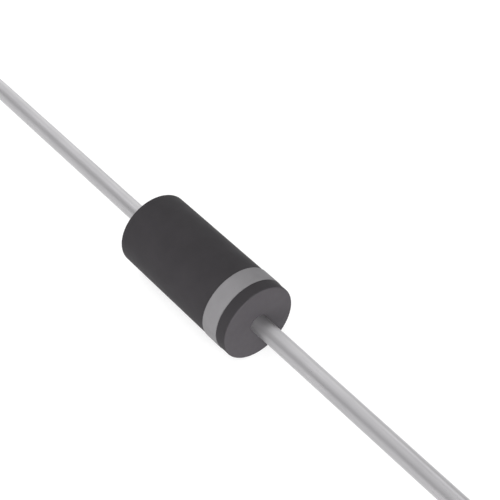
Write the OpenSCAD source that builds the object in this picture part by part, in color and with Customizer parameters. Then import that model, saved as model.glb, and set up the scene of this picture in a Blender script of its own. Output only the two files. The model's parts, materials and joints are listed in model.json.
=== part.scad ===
// Axial rectifier diode: a moulded cylindrical case with a straight tinned
// wire lead out of each end and a printed band that marks the cathode end.
//
// Dimensions are millimetres. The leads lie along X, the cathode points to +X,
// +Z is up, and the origin is the centre of the case.

/* [Case] */
// Diameter of the moulded case
case_d = 3.4; // [3.2:0.05:3.6]
// Length of the moulded case
case_len = 7.05; // [6:0.05:7.6]
// Radius round the rim of each end face
rim_r = 0.06; // [0.02:0.01:0.15]

/* [Cathode band] */
// Width of the printed band
band_w = 0.87; // [0.5:0.01:1.2]
// Plain strip of case between the band and the cathode end face
band_margin = 0.53; // [0.3:0.01:0.9]
// Thickness of the ink film
band_t = 0.02; // [0.02:0.005:0.04]

/* [Leads] */
// Diameter of the tinned wire
lead_d = 0.77; // [0.7:0.01:0.9]
// Length of wire outside the case at each end
lead_len = 25.4; // [20:0.2:30]
// Chamfer left on the cut end of each wire
tip_chamfer = 0.05; // [0.02:0.01:0.1]

/* [Lead ends inside the case] */
// Diameter of the nail head upset on the wire
head_d = 2.1; // [2:0.05:2.3]
// Thickness of the nail head
head_t = 0.4; // [0.35:0.05:0.5]
// How far inside the end face the pressed anchor ends
anchor_inset = 0.1; // [0.06:0.01:0.12]
// Length of wire pressed flat to anchor it in the case
anchor_len = 0.8; // [0.7:0.05:1]
// Thickness of the wire where it is pressed flat
anchor_t = 0.44; // [0.4:0.02:0.46]

/* [Junction] */
// Side of the square silicon die
die_w = 1.3; // [1:0.05:1.3]
// Thickness of the silicon die
die_t = 0.26; // [0.2:0.02:0.36]
// Thickness of each solder layer
solder_t = 0.06; // [0.04:0.01:0.1]
// How far the silicone bead stands out past the nail heads
coat_bulge = 0.25; // [0.15:0.05:0.3]
// How far the silicone bead runs along the rim of each nail head
coat_lap = 0.22; // [0.1:0.02:0.24]

/* [Hidden] */
$fn = 96;

case_r = case_d / 2;
lead_r = lead_d / 2;
head_r = head_d / 2;
solder_d = head_d - 0.15;

// Distances from the middle of the die, along X
solder_x = die_t / 2;
head_x = solder_x + solder_t;
neck_x = head_x + head_t;
face_x = case_len / 2;
anchor_end_x = face_x - anchor_inset;
anchor_x = anchor_end_x - anchor_len;
tip_x = face_x + lead_len;

// Break on the nail head's rim, and the fillet behind it
head_break = 0.06;
neck_fillet = 0.14;

// Overlap where two shapes join, so that no film is left between them
join = 0.02;

// Pressing the wire flat keeps its section area, so the width follows
wire_area = PI * lead_r * lead_r;
anchor_w = (wire_area - PI * anchor_t * anchor_t / 4) / anchor_t + anchor_t;

// Arc of the silicone bead, from rim to rim over the gap between the heads
coat_half = head_x + coat_lap;
coat_arc_r = (coat_bulge * coat_bulge + coat_half * coat_half) / (2 * coat_bulge);
coat_arc_y = head_r + coat_bulge - coat_arc_r;

// Turns a half section, drawn with radius along x and X position along y,
// into a solid round the X axis
module turned() {
    rotate([0, 90, 0]) rotate_extrude() children();
}

// Straight round bar along X between two positions
module bar(r, x0, x1) {
    translate([x0, 0, 0]) rotate([0, 90, 0]) cylinder(r = r, h = x1 - x0);
}

// Section of the wire where it is pressed: flat faces and round edges
module anchor_section() {
    union() {
        square([anchor_t, anchor_w - anchor_t], center = true);
        for (side = [-1, 1])
            translate([0, side * (anchor_w - anchor_t) / 2]) circle(d = anchor_t);
    }
}

// One lead on the +X side: nail head, neck, pressed anchor and long straight wire
module lead_shape() {
    union() {
        turned() polygon([
            [0, head_x],
            [head_r - head_break, head_x],
            [head_r, head_x + head_break],
            [head_r, neck_x - head_break],
            [head_r - head_break, neck_x],
            [lead_r + neck_fillet, neck_x],
            [lead_r, neck_x + neck_fillet],
            [lead_r, anchor_x + join],
            [0, anchor_x + join]
        ]);
        translate([anchor_x, 0, 0]) rotate([0, 90, 0])
            linear_extrude(height = anchor_len) anchor_section();
        turned() polygon([
            [0, anchor_end_x - join],
            [lead_r, anchor_end_x - join],
            [lead_r, tip_x - tip_chamfer],
            [lead_r - tip_chamfer, tip_x],
            [0, tip_x]
        ]);
    }
}

// Solder layer on the +X side of the die; extra carries it on into the head
module solder_shape(extra = 0) {
    bar(solder_d / 2, solder_x, head_x + extra);
}

// Square die in the middle; extra carries it on into the solder at each face
module die_shape(extra = 0) {
    cube([die_t + 2 * extra, die_w, die_w], center = true);
}

// Room that the silicone bead leaves for what lies on the +X side of the die
module inner_half() {
    union() {
        solder_shape(join);
        lead_shape();
    }
}

// Outside of the silicone bead, before anything is taken out of it. Its arc
// crosses the rim of each head and ends within it.
module coat_outer() {
    turned() union() {
        translate([0, -coat_half]) square([head_r - 0.1, 2 * coat_half]);
        intersection() {
            translate([coat_arc_y, 0]) circle(r = coat_arc_r);
            translate([head_r - 0.2, -coat_half - 0.03])
                square([coat_bulge + 0.3, 2 * coat_half + 0.06]);
        }
    }
}

// Outside of the case, with its rims rounded
module case_outer() {
    turned() union() {
        translate([0, -face_x]) square([case_r - rim_r, case_len]);
        translate([0, rim_r - face_x]) square([case_r, case_len - 2 * rim_r]);
        for (side = [-1, 1])
            translate([case_r - rim_r, side * (face_x - rim_r)]) circle(r = rim_r);
    }
}

// Moulded epoxy case, closed tight round the leads and the silicone bead
module case() {
    color([0.26, 0.255, 0.265]) difference() {
        case_outer();
        coat_outer();
        lead_shape();
        mirror([1, 0, 0]) lead_shape();
    }
}

// Film of ink all round the case
module cathode_band() {
    color([0.66, 0.655, 0.665]) difference() {
        bar(case_r + band_t, face_x - band_margin - band_w, face_x - band_margin);
        bar(case_r, face_x - band_margin - band_w - 1, face_x - band_margin + 1);
    }
}

module cathode_lead() {
    color([0.74, 0.73, 0.75]) lead_shape();
}

module anode_lead() {
    color([0.74, 0.73, 0.75]) mirror([1, 0, 0]) lead_shape();
}

module silicon_die() {
    color([0.32, 0.34, 0.4]) die_shape();
}

module cathode_solder() {
    color([0.6, 0.61, 0.63]) solder_shape();
}

module anode_solder() {
    color([0.6, 0.61, 0.63]) mirror([1, 0, 0]) solder_shape();
}

// Silicone resin that fills the gap between the heads and seals the die's edges
module junction_coating() {
    color([0.86, 0.84, 0.78]) difference() {
        coat_outer();
        die_shape(join);
        inner_half();
        mirror([1, 0, 0]) inner_half();
    }
}

case();
cathode_band();
cathode_lead();
anode_lead();
silicon_die();
cathode_solder();
anode_solder();
junction_coating();
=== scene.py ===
import json
import math

import bmesh
import bpy
from mathutils import Matrix, Vector


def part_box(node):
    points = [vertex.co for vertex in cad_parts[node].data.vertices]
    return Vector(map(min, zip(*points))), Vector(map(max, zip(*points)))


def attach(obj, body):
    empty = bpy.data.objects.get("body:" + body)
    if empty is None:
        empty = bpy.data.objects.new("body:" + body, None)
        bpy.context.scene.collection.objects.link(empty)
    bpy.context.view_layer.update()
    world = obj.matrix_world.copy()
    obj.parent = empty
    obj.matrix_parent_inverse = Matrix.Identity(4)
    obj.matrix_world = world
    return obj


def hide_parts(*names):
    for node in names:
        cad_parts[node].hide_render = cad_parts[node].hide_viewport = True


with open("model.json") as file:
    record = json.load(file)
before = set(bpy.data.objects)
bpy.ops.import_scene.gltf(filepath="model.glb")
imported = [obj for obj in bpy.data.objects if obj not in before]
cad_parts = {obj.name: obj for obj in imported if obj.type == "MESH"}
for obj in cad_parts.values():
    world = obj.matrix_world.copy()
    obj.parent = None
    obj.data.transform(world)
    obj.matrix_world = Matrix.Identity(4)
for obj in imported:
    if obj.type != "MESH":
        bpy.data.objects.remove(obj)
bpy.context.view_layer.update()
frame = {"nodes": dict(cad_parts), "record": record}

MM = 0.001

# ---------------------------------------------------------------- sizes from the frame, in millimetres
case_lo, case_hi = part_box("case")
band_lo, band_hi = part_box("cathode_band")
lead_lo, lead_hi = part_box("cathode_lead")
solder_lo, solder_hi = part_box("cathode_solder")
coat_lo, coat_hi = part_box("junction_coating")
die_lo, die_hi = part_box("silicon_die")
FACE = case_hi[0] / MM                    # half length of the case
R = case_hi[2] / MM                       # case radius
BAND0, BAND1 = band_lo[0] / MM, band_hi[0] / MM
BAND_R = band_hi[2] / MM
TIP = lead_hi[0] / MM
WIRE = frame["record"]["mounts"][0]["dims"]["r_mm"]
HEAD_R = lead_hi[2] / MM                  # radius of the nail head
HEAD_X = lead_lo[0] / MM                  # its inner face
SOLDER_X, SOLDER_R = solder_lo[0] / MM, solder_hi[2] / MM
COAT_R, COAT_X = coat_hi[2] / MM, coat_hi[0] / MM
DIE_W = 2 * die_hi[1] / MM

RIM = 0.06                                # rim radius of the case
HEAD_T, HEAD_BREAK, NECK_FILLET = 0.40, 0.06, 0.14
ANCHOR1 = FACE - 0.10                     # pressed anchor, from ANCHOR0 to ANCHOR1
ANCHOR0 = ANCHOR1 - 0.80
ANCHOR_T = 0.44
ANCHOR_W = (math.pi * WIRE ** 2 - math.pi * ANCHOR_T ** 2 / 4) / ANCHOR_T + ANCHOR_T
TIP_CHAMFER = 0.05
N = 192                                   # points round a ring


# ---------------------------------------------------------------- mesh helpers (millimetres, round X)
def link(name, bm, smooth=None):
    me = bpy.data.meshes.new(name)
    bmesh.ops.scale(bm, vec=(MM, MM, MM), verts=bm.verts)
    bm.to_mesh(me)
    bm.free()
    ob = bpy.data.objects.new(name, me)
    bpy.context.scene.collection.objects.link(ob)
    me.shade_smooth()
    if smooth is not None:
        me.set_sharp_from_angle(angle=math.radians(smooth))
    return ob


def value(v, a):
    return v(a) if callable(v) else v


def ring(bm, x, radius, n):
    """A ring of n points round X; x and radius are numbers or functions of the angle."""
    out = []
    for i in range(n):
        a = 2 * math.pi * i / n
        r = value(radius, a)
        out.append(bm.verts.new((value(x, a), r * math.cos(a), r * math.sin(a))))
    return out


def bridge(bm, a, b):
    n = len(a)
    for i in range(n):
        j = (i + 1) % n
        bm.faces.new((a[i], a[j], b[j], b[i]))


def lathe(bm, profile, n=N, closed=False, cap0=False, cap1=False):
    """Rings along a profile of (x, radius), bridged in order."""
    rings = [ring(bm, x, r, n) for x, r in profile]
    for a, b in zip(rings, rings[1:]):
        bridge(bm, a, b)
    if closed:
        bridge(bm, rings[-1], rings[0])
    for flag, rg in ((cap0, rings[0]), (cap1, rings[-1])):
        if flag:
            c = sum((v.co for v in rg), Vector()) / n
            c = bm.verts.new((c[0], 0, 0))
            for i in range(n):
                bm.faces.new((rg[i], rg[(i + 1) % n], c))
    bmesh.ops.recalc_face_normals(bm, faces=bm.faces)
    return rings


def arc(cx, cr, r, a0, a1, k):
    return [(cx + r * math.sin(a0 + (a1 - a0) * i / k), cr + r * math.cos(a0 + (a1 - a0) * i / k)) for i in range(k + 1)]


def smooth(t):
    t = min(max(t, 0.0), 1.0)
    return t * t * (3 - 2 * t)


def pressed(k):
    """Radius of the wire's section by angle; k runs from 0, round, to 1, pressed flat."""
    h, c = ANCHOR_T / 2, (ANCHOR_W - ANCHOR_T) / 2

    def radius(a):
        s, co = abs(math.sin(a)), abs(math.cos(a))
        if s > 1e-9 and h * co / s <= c:
            flat = h / s
        else:
            flat = c * co + math.sqrt(max(h * h - c * c * s * s, 0.0))
        return WIRE + (flat - WIRE) * k
    return radius


def inner_lead(side):
    """Profile of a lead from behind its nail head's inner face to the case's end face."""
    neck = HEAD_X + HEAD_T
    out = [(HEAD_X, HEAD_R - HEAD_BREAK)]
    out += arc(HEAD_X + HEAD_BREAK, HEAD_R - HEAD_BREAK, HEAD_BREAK, -math.pi / 2, 0, 4)[1:]
    out += arc(neck - HEAD_BREAK, HEAD_R - HEAD_BREAK, HEAD_BREAK, 0, math.pi / 2, 4)
    out += [(neck + NECK_FILLET - NECK_FILLET * math.cos(t), WIRE + NECK_FILLET - NECK_FILLET * math.sin(t))
            for t in [math.pi / 2 * i / 6 for i in range(7)]]
    out += [(ANCHOR0 - 0.3, WIRE), (ANCHOR0 - 0.01, WIRE)]
    out += [(ANCHOR0 + 0.12 * i / 6, pressed(smooth(i / 6))) for i in range(1, 7)]
    out += [(ANCHOR0 + 0.12 + (0.8 - 0.24) * i / 4, pressed(1)) for i in range(1, 4)]
    out += [(ANCHOR1 - 0.12 + 0.12 * i / 6, pressed(smooth(1 - i / 6))) for i in range(7)]
    out += [(ANCHOR1 + 0.05, WIRE)]
    return [(side * x, r) for x, r in out]


# ---------------------------------------------------------------- moulded case, hollow where its contents are
bm = bmesh.new()
prof = [(-FACE, WIRE + 0.001)] + [(-FACE, WIRE + (R - RIM - WIRE) * t) for t in (0.06, 0.15, 0.3, 0.5, 0.75)]
prof += arc(-FACE + RIM, R - RIM, RIM, -math.pi / 2, 0, 10)
prof += [(-FACE + RIM + (2 * FACE - 2 * RIM) * t / 48, R) for t in range(1, 48)]
prof += arc(FACE - RIM, R - RIM, RIM, 0, math.pi / 2, 10)
prof += [(FACE, WIRE + (R - RIM - WIRE) * t) for t in (0.75, 0.5, 0.3, 0.15, 0.06)] + [(FACE, WIRE + 0.001)]
bead_half = SOLDER_X + 0.06 + 0.22
bead_r = ((COAT_R - HEAD_R) ** 2 + bead_half ** 2) / (2 * (COAT_R - HEAD_R))
bead_y = COAT_R - bead_r
bead = [(x, bead_y + math.sqrt(bead_r ** 2 - x ** 2)) for x in [bead_half * 0.96 * (1 - i / 8) for i in range(17)]]
right_in = [p for p in inner_lead(1) if abs(p[0]) > bead_half]
left_in = [p for p in inner_lead(-1) if abs(p[0]) > bead_half]
prof += list(reversed(right_in)) + bead + left_in
lathe(bm, prof, closed=True)
case = link("case_body", bm, 40)
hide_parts("case"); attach(case, "root")

# ---------------------------------------------------------------- printed cathode band: a film with soft, slightly uneven edges
INK = BAND_R - R


def edge(x, seed, inward):
    """The printed edge: it wanders a few micrometres round the case, always inward of the film's full width."""
    def f(a):
        w = (0.50 * math.sin(3 * a + seed) + 0.28 * math.sin(11 * a + 2.1 * seed)
             + 0.16 * math.sin(29 * a + 0.7 * seed) + 0.10 * math.sin(53 * a + 1.3 * seed))
        return x + inward * 0.006 * (1.0 + w)
    return f


def shifted(f, dx):
    return lambda a: f(a) + dx


e0, e1 = edge(BAND0, 0.4, 1), edge(BAND1, 2.3, -1)
bm = bmesh.new()
prof = [(e0, R)]
prof += [(shifted(e0, 0.016 * (1 - math.cos(t))), R + INK * math.sin(t)) for t in [math.pi / 2 * i / 5 for i in range(1, 6)]]
prof += [(BAND0 + (BAND1 - BAND0) * t / 10, BAND_R) for t in range(1, 10)]
prof += [(shifted(e1, -0.016 * (1 - math.cos(t))), R + INK * math.sin(t)) for t in [math.pi / 2 * i / 5 for i in range(5, 0, -1)]]
prof += [(e1, R)]
prof += [(BAND1 - (BAND1 - BAND0) * t / 4, R) for t in (1, 2, 3)]
lathe(bm, prof, 384, closed=True)
band = link("band_print", bm, 50)
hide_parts("cathode_band"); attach(band, "root")


# ---------------------------------------------------------------- leads: nail head, pressed anchor and long tinned wire
def tinned(x, seed):
    """Radius of the tinned wire: plating runs a few micrometres thinner here and there."""
    def f(a):
        w = (math.sin(0.55 * x + seed) + 0.6 * math.sin(1.7 * x + 2 * a + 2 * seed) + 0.5 * math.sin(3.9 * x - a + seed))
        return WIRE - 0.0016 * (1 + w / 2.1)
    return f


leads = []
for side, node, seed in ((1, "cathode_lead", 0.7), (-1, "anode_lead", 4.1)):
    bm = bmesh.new()
    prof = [(side * HEAD_X, 0.35), (side * HEAD_X, 0.7)] + inner_lead(side)
    prof += [(side * (FACE + (TIP - 0.32 - FACE) * i / 96), tinned(FACE + (TIP - FACE) * i / 96, seed)) for i in range(97)]
    # the cut end: the shear drags the metal in a little before the chamfer, and the face is not quite flat
    prof += [(side * (TIP - 0.2), WIRE - 0.002), (side * (TIP - 0.11), WIRE - 0.006), (side * (TIP - TIP_CHAMFER), WIRE - 0.012)]
    prof += [(side * (TIP - TIP_CHAMFER + 0.05 * math.sin(t)), WIRE - 0.012 - 0.045 * (1 - math.cos(t))) for t in [math.pi / 2 * i / 5 for i in range(1, 6)]]
    for k in (0.26, 0.18, 0.10):
        prof.append(((lambda a, k=k, side=side: side * (TIP - 0.005 - 0.010 * (1 + math.sin(a + 0.8)) * (0.5 - k))), k))
    lathe(bm, prof, cap0=True, cap1=True)
    lead = link(node + "_wire", bm, 40)
    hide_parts(node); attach(lead, "root")
    leads.append(lead)


# ---------------------------------------------------------------- materials
class Look:
    """A Principled material with short helpers for procedural detail, in millimetres of the shared frame."""

    def __init__(self, name, rough=0.5, metal=0.0, ior=1.5):
        self.m = bpy.data.materials.new(name)
        self.m.use_nodes = True
        self.t = self.m.node_tree
        self.b = self.t.nodes["Principled BSDF"]
        self.b.inputs["Roughness"].default_value = rough
        self.b.inputs["Metallic"].default_value = metal
        self.b.inputs["IOR"].default_value = ior
        co = self.t.nodes.new("ShaderNodeTexCoord")
        self.co = self.vec("SCALE", co.outputs["Object"], scale=1000.0)

    def put(self, sock, val):
        if isinstance(val, bpy.types.NodeSocket):
            self.t.links.new(val, sock)
        elif isinstance(val, (tuple, list)) and len(val) == 3 and sock.type == "RGBA":
            sock.default_value = (*val, 1)
        else:
            sock.default_value = val

    def vec(self, op, a, b=None, scale=None):
        n = self.t.nodes.new("ShaderNodeVectorMath")
        n.operation = op
        self.put(n.inputs[0], a)
        if b is not None:
            self.put(n.inputs[1], b)
        if scale is not None:
            n.inputs["Scale"].default_value = scale
        return n.outputs[0]

    def math(self, op, a, b=None, c=None, clamp=False):
        n = self.t.nodes.new("ShaderNodeMath")
        n.operation = op
        n.use_clamp = clamp
        self.put(n.inputs[0], a)
        if b is not None:
            self.put(n.inputs[1], b)
        if c is not None:
            self.put(n.inputs[2], c)
        return n.outputs[0]

    def xyz(self):
        n = self.t.nodes.new("ShaderNodeSeparateXYZ")
        self.put(n.inputs[0], self.co)
        return n.outputs

    def radius(self):
        x, y, z = self.xyz()
        return self.math("SQRT", self.math("ADD", self.math("MULTIPLY", y, y), self.math("MULTIPLY", z, z)))

    def noise(self, scale, detail=4.0, stretch=None, rough=0.55, offset=None):
        v = self.co
        if stretch:
            v = self.vec("MULTIPLY", v, stretch)
        if offset:
            v = self.vec("ADD", v, offset)
        n = self.t.nodes.new("ShaderNodeTexNoise")
        self.put(n.inputs["Vector"], v)
        n.inputs["Scale"].default_value = scale
        n.inputs["Detail"].default_value = detail
        n.inputs["Roughness"].default_value = rough
        return n.outputs[0]

    def cells(self, scale, rand=1.0):
        n = self.t.nodes.new("ShaderNodeTexVoronoi")
        self.put(n.inputs["Vector"], self.co)
        n.inputs["Scale"].default_value = scale
        n.inputs["Randomness"].default_value = rand
        return n.outputs["Distance"]

    def remap(self, v, lo, hi, to_lo, to_hi, kind="LINEAR"):
        n = self.t.nodes.new("ShaderNodeMapRange")
        n.interpolation_type = kind
        self.put(n.inputs["Value"], v)
        for k, q in (("From Min", lo), ("From Max", hi), ("To Min", to_lo), ("To Max", to_hi)):
            n.inputs[k].default_value = q
        return n.outputs[0]

    def mix(self, fac, a, b):
        n = self.t.nodes.new("ShaderNodeMix")
        n.data_type = "RGBA"
        self.put(n.inputs[0], fac)
        self.put(n.inputs[6], a)
        self.put(n.inputs[7], b)
        return n.outputs[2]

    def bump(self, height, dist_mm, strength=1.0, normal=None):
        n = self.t.nodes.new("ShaderNodeBump")
        n.inputs["Distance"].default_value = dist_mm * MM
        n.inputs["Strength"].default_value = strength
        self.put(n.inputs["Height"], height)
        if normal is not None:
            self.put(n.inputs["Normal"], normal)
        return n.outputs[0]

    def set(self, **k):
        names = {"color": "Base Color", "rough": "Roughness", "normal": "Normal", "spec": "Specular IOR Level",
                 "coat": "Coat Weight", "emit": "Emission Color", "power": "Emission Strength", "sheen": "Sheen Weight"}
        for key, val in k.items():
            self.put(self.b.inputs[names[key]], val)
        return self.m


def scale(c, k):
    return tuple(v * k for v in c)


EPOXY = (0.0312, 0.0291, 0.0316)
INK_COL = (0.177, 0.173, 0.179)
TIN = (0.385, 0.379, 0.389)
EPOXY_ROUGH, INK_ROUGH, TIN_ROUGH = 0.58, 0.60, 0.31


def epoxy():
    s = Look("epoxy_moulding")
    x = s.xyz()[0]
    r = s.radius()
    cloud = s.remap(s.noise(0.9, 3.0), 0.3, 0.7, 0.0, 1.0)
    col = s.mix(cloud, scale(EPOXY, 0.93), scale(EPOXY, 1.07))
    painted_face_light = s.remap(s.math("ABSOLUTE", x), FACE - 0.035, FACE - 0.004, 0, 1, "SMOOTHSTEP")   # painted light: the end faces are painted about twice as pale as the sides, standing in for the stronger light falling on them
    col = s.mix(painted_face_light, col, s.mix(s.remap(s.noise(3.0, 5.0, offset=(2, 2, 8)), 0.3, 0.7, 0.0, 1.0), scale(EPOXY, 1.90), scale(EPOXY, 2.06)))
    filler = s.remap(s.cells(9.0), 0.0, 0.16, 1.0, 0.0)                     # silica filler near the skin
    col = s.mix(s.math("MULTIPLY", filler, 0.10), col, scale(EPOXY, 2.2))
    rim = s.math("MULTIPLY", s.remap(s.math("ABSOLUTE", x), FACE - 0.09, FACE - 0.015, 0, 1, "SMOOTHSTEP"),
                 s.remap(r, R - 0.09, R - 0.015, 0, 1, "SMOOTHSTEP"))
    worn = s.math("MULTIPLY", rim, s.remap(s.noise(2.4, 5.0), 0.40, 0.72, 0.0, 0.55))
    col = s.mix(worn, col, scale(EPOXY, 1.7))
    rough = s.remap(s.noise(1.7, 5.0, offset=(7, 3, 1)), 0.25, 0.75, EPOXY_ROUGH - 0.05, EPOXY_ROUGH + 0.05)
    rough = s.math("SUBTRACT", rough, s.math("MULTIPLY", worn, 0.12))
    grain = s.math("ADD", s.noise(11.0, 6.0), s.math("MULTIPLY", s.noise(38.0, 2.0), 0.35))
    draw = s.noise(5.0, 4.0, stretch=(0.12, 1.0, 1.0))                      # drag marks left by ejection, along the case
    n = s.bump(grain, 0.006, 0.5)
    n = s.bump(draw, 0.004, 0.35, n)
    return s.set(color=col, rough=rough, normal=n, spec=0.06)


def ink():
    s = Look("band_ink_film")
    x = s.xyz()[0]
    cloud = s.remap(s.noise(1.6, 4.0, offset=(3, 9, 5)), 0.3, 0.7, 0.0, 1.0)
    col = s.mix(cloud, scale(INK_COL, 0.95), scale(INK_COL, 1.05))
    streak = s.remap(s.noise(3.2, 4.0, stretch=(2.6, 0.35, 0.35)), 0.35, 0.7, 0.0, 0.5)   # the print roller's run round the case
    col = s.mix(s.math("MULTIPLY", streak, 0.22), col, scale(INK_COL, 0.80))
    thin = s.math("MAXIMUM", s.remap(x, BAND0, BAND0 + 0.05, 1, 0, "SMOOTHSTEP"), s.remap(x, BAND1 - 0.05, BAND1, 0, 1, "SMOOTHSTEP"))
    thin = s.math("MULTIPLY", thin, s.remap(s.noise(7.0, 4.0), 0.3, 0.7, 0.25, 0.75))
    col = s.mix(thin, col, scale(INK_COL, 0.55))
    pin = s.math("MULTIPLY", s.remap(s.cells(5.0), 0.0, 0.10, 1.0, 0.0), s.remap(s.noise(2.0, 2.0), 0.52, 0.62, 0.0, 0.5))
    col = s.mix(pin, col, scale(EPOXY, 1.6))
    rough = s.remap(s.noise(4.0, 4.0), 0.25, 0.75, INK_ROUGH - 0.06, INK_ROUGH + 0.06)
    n = s.bump(s.math("ADD", s.noise(9.0, 5.0), s.math("MULTIPLY", pin, -0.6)), 0.006, 0.5)
    return s.set(color=col, rough=rough, normal=n, spec=0.10)


def tin():
    s = Look("tinned_copper_wire", metal=0.82)
    x = s.xyz()[0]
    lines = s.noise(9.0, 5.0, stretch=(0.05, 1.6, 1.6))                     # drawing marks along the wire
    fine = s.noise(30.0, 3.0, stretch=(0.06, 1.0, 1.0))
    dull = s.remap(s.noise(0.55, 4.0, stretch=(0.6, 1.2, 1.2)), 0.35, 0.7, 0.0, 1.0)
    col = s.mix(dull, scale(TIN, 1.03), scale(TIN, 0.95))
    col = s.mix(s.remap(lines, 0.50, 0.72, 0.0, 0.35), col, scale(TIN, 0.82))
    spot = s.math("MULTIPLY", s.remap(s.cells(2.3), 0.0, 0.12, 1.0, 0.0), s.remap(s.noise(0.8, 2.0), 0.55, 0.65, 0.0, 0.4))
    col = s.mix(spot, col, scale((TIN[0], TIN[1] * 0.96, TIN[2] * 0.9), 0.72))  # small spots of oxide
    bare = s.remap(s.math("ABSOLUTE", x), TIP - 0.014, TIP - 0.006, 0, 1, "SMOOTHSTEP")
    bare = s.math("MULTIPLY", bare, s.remap(s.noise(5.0, 4.0), 0.35, 0.6, 0.2, 0.8))
    col = s.mix(bare, col, (0.40, 0.235, 0.165))                              # copper shows where the wire was cut
    rough = s.math("ADD", s.remap(dull, 0, 1, TIN_ROUGH - 0.03, TIN_ROUGH + 0.05), s.remap(fine, 0.3, 0.7, -0.03, 0.03))
    n = s.bump(lines, 0.003, 0.5)
    n = s.bump(fine, 0.0012, 0.4, n)
    return s.set(color=col, rough=rough, normal=n)


def silicon():
    s = Look("silicon_chip", ior=3.4)
    saw = s.noise(6.0, 4.0, stretch=(0.3, 0.3, 6.0))
    col = s.mix(s.remap(s.noise(1.5, 3.0), 0.3, 0.7, 0, 1), (0.055, 0.062, 0.080), (0.085, 0.092, 0.115))
    col = s.mix(s.remap(saw, 0.5, 0.75, 0.0, 0.5), col, (0.16, 0.17, 0.19))
    return s.set(color=col, rough=s.remap(saw, 0.3, 0.7, 0.18, 0.42), normal=s.bump(saw, 0.006, 0.6))


def solder():
    s = Look("soft_solder", metal=1.0)
    grains = s.cells(4.0)
    col = s.mix(s.remap(grains, 0.0, 0.6, 0, 1), (0.52, 0.52, 0.53), (0.64, 0.64, 0.66))
    col = s.mix(s.remap(s.noise(5.0, 5.0), 0.55, 0.75, 0, 0.6), col, (0.36, 0.36, 0.37))
    return s.set(color=col, rough=s.remap(s.noise(3.0, 4.0), 0.3, 0.7, 0.30, 0.52), normal=s.bump(s.math("ADD", grains, s.noise(9.0, 4.0)), 0.01, 0.5))


def silicone():
    s = Look("silicone_resin", ior=1.41)
    bubble = s.remap(s.cells(3.4), 0.0, 0.14, 1.0, 0.0)
    col = s.mix(s.remap(s.noise(1.2, 4.0), 0.3, 0.7, 0, 1), (0.70, 0.67, 0.58), (0.80, 0.78, 0.70))
    col = s.mix(s.math("MULTIPLY", bubble, 0.5), col, (0.88, 0.87, 0.83))
    return s.set(color=col, rough=s.remap(s.noise(4.0, 3.0), 0.3, 0.7, 0.28, 0.44), normal=s.bump(s.math("ADD", bubble, s.noise(2.5, 4.0)), 0.012, 0.5))


FLOOR_GLOW = 0.60


def paper():
    s = Look("white_sweep")
    fibre = s.noise(0.8, 5.0)
    col = s.mix(s.remap(fibre, 0.3, 0.7, 0, 1), (0.45, 0.45, 0.45), (0.47, 0.47, 0.47))
    return s.set(color=col, rough=s.remap(fibre, 0.3, 0.7, 0.85, 0.95), normal=s.bump(fibre, 0.01, 0.2), spec=0.1,
                 emit=(1.0, 1.0, 1.0), power=FLOOR_GLOW)


def dress(ob, mat):
    ob.data.materials.clear()
    ob.data.materials.append(mat)


dress(case, epoxy())
dress(band, ink())
TIN_LOOK = tin()
for ob in leads:
    dress(ob, TIN_LOOK)
SOLDER_LOOK = solder()
for node, mat in (("silicon_die", silicon()), ("cathode_solder", SOLDER_LOOK), ("anode_solder", SOLDER_LOOK), ("junction_coating", silicone())):
    ob = frame["nodes"][node]
    if not ob.material_slots:
        ob.data.materials.append(mat)
    for sl in ob.material_slots:
        sl.material = mat

# ---------------------------------------------------------------- floor
bm = bmesh.new()
bmesh.ops.create_grid(bm, x_segments=8, y_segments=8, size=3000)
bmesh.ops.translate(bm, verts=bm.verts, vec=(0, 0, -BAND_R - 0.002))
floor = link("floor", bm)
dress(floor, paper())

# ---------------------------------------------------------------- soft studio light: wide soft lobes on a plain sky
# (azimuth from +X towards +Y, elevation, sharpness, strength)
LOBES = [
    (324, 30, 8, 6.45), (340, 5, 20, 2.10), (60, 38, 8, 0.42),
    (118, 48, 30, 1.22), (129, 26, 30, 0.83), (144, 22, 8, 0.97), (180, 55, 8, 0.70), (171, 55, 30, 0.93),
    (240, 55, 8, 0.58), (252, 22, 8, 0.12), (216, 22, 8, 0.32),
]
SKY = 0.12
HAZE = 0.75


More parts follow.
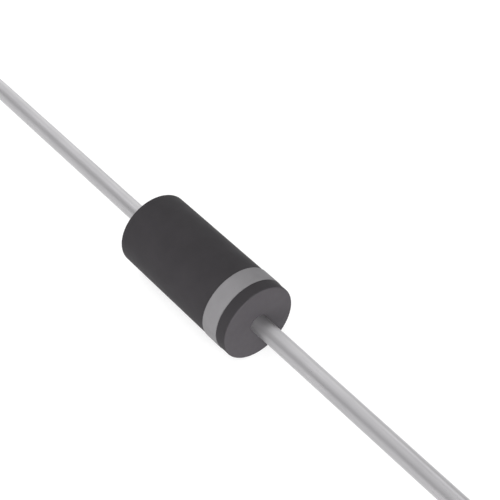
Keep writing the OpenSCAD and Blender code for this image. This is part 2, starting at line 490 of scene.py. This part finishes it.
def sky(lobes, base, haze=0.0):
    world = bpy.data.worlds.get("studio") or bpy.data.worlds.new("studio")
    bpy.context.scene.world = world
    world.use_nodes = True
    t = world.node_tree
    t.nodes.clear()
    out = t.nodes.new("ShaderNodeOutputWorld")
    bg = t.nodes.new("ShaderNodeBackground")
    t.links.new(bg.outputs[0], out.inputs[0])
    co = t.nodes.new("ShaderNodeTexCoord")
    total = None
    for az, el, k, w in lobes:
        a, e = math.radians(az), math.radians(el)
        dot = t.nodes.new("ShaderNodeVectorMath")
        dot.operation = "DOT_PRODUCT"
        t.links.new(co.outputs["Generated"], dot.inputs[0])
        dot.inputs[1].default_value = (math.cos(e) * math.cos(a), math.cos(e) * math.sin(a), math.sin(e))
        pos = t.nodes.new("ShaderNodeMath")
        pos.operation = "MAXIMUM"
        t.links.new(dot.outputs["Value"], pos.inputs[0])
        pos.inputs[1].default_value = 0.0
        pw = t.nodes.new("ShaderNodeMath")
        pw.operation = "POWER"
        t.links.new(pos.outputs[0], pw.inputs[0])
        pw.inputs[1].default_value = k
        ma = t.nodes.new("ShaderNodeMath")
        ma.operation = "MULTIPLY_ADD"
        t.links.new(pw.outputs[0], ma.inputs[0])
        ma.inputs[1].default_value = w
        if total is None:
            ma.inputs[2].default_value = base
        else:
            t.links.new(total, ma.inputs[2])
        total = ma.outputs[0]
    if haze:                                       # an even pale band just above the horizon, behind the object in low views
        sep = t.nodes.new("ShaderNodeSeparateXYZ")
        t.links.new(co.outputs["Generated"], sep.inputs[0])
        fall = t.nodes.new("ShaderNodeMapRange")
        fall.interpolation_type = "SMOOTHSTEP"
        t.links.new(sep.outputs[2], fall.inputs["Value"])
        for key, v in (("From Min", 0.10), ("From Max", 0.42), ("To Min", haze), ("To Max", 0.0)):
            fall.inputs[key].default_value = v
        add = t.nodes.new("ShaderNodeMath")
        add.operation = "ADD"
        t.links.new(fall.outputs[0], add.inputs[0])
        if total is None:
            add.inputs[1].default_value = base
        else:
            t.links.new(total, add.inputs[1])
        total = add.outputs[0]
    if total is None:
        bg.inputs[1].default_value = base
    else:
        t.links.new(total, bg.inputs[1])
    bg.inputs[0].default_value = (1, 1, 1, 1)
    return world


sky(LOBES, SKY, HAZE)

# ---------------------------------------------------------------- camera at the photograph's viewing angle
cam_data = bpy.data.cameras.new("camera")
cam = bpy.data.objects.new("camera", cam_data)
bpy.context.scene.collection.objects.link(cam)
right = Vector((0.6237, 0.7817, 0.0)).normalized()
fwd = Vector((-0.5689, 0.4539, -0.6856)).normalized()
right = (right - fwd * right.dot(fwd)).normalized()
up = right.cross(fwd)
pos = (right * 1.0939 + up * 0.5821 - fwd * 30.991) * R * MM
cam.matrix_world = Matrix(((right[0], up[0], -fwd[0], pos[0]), (right[1], up[1], -fwd[1], pos[1]), (right[2], up[2], -fwd[2], pos[2]), (0, 0, 0, 1)))
cam_data.sensor_width = 36.0
cam_data.lens = 1289.5 * 36.0 / 500.0
cam_data.clip_start, cam_data.clip_end = 0.001, 20.0
bpy.context.scene.camera = cam
bpy.context.scene.view_settings.view_transform = "Standard"
bpy.context.scene.view_settings.look = "None"
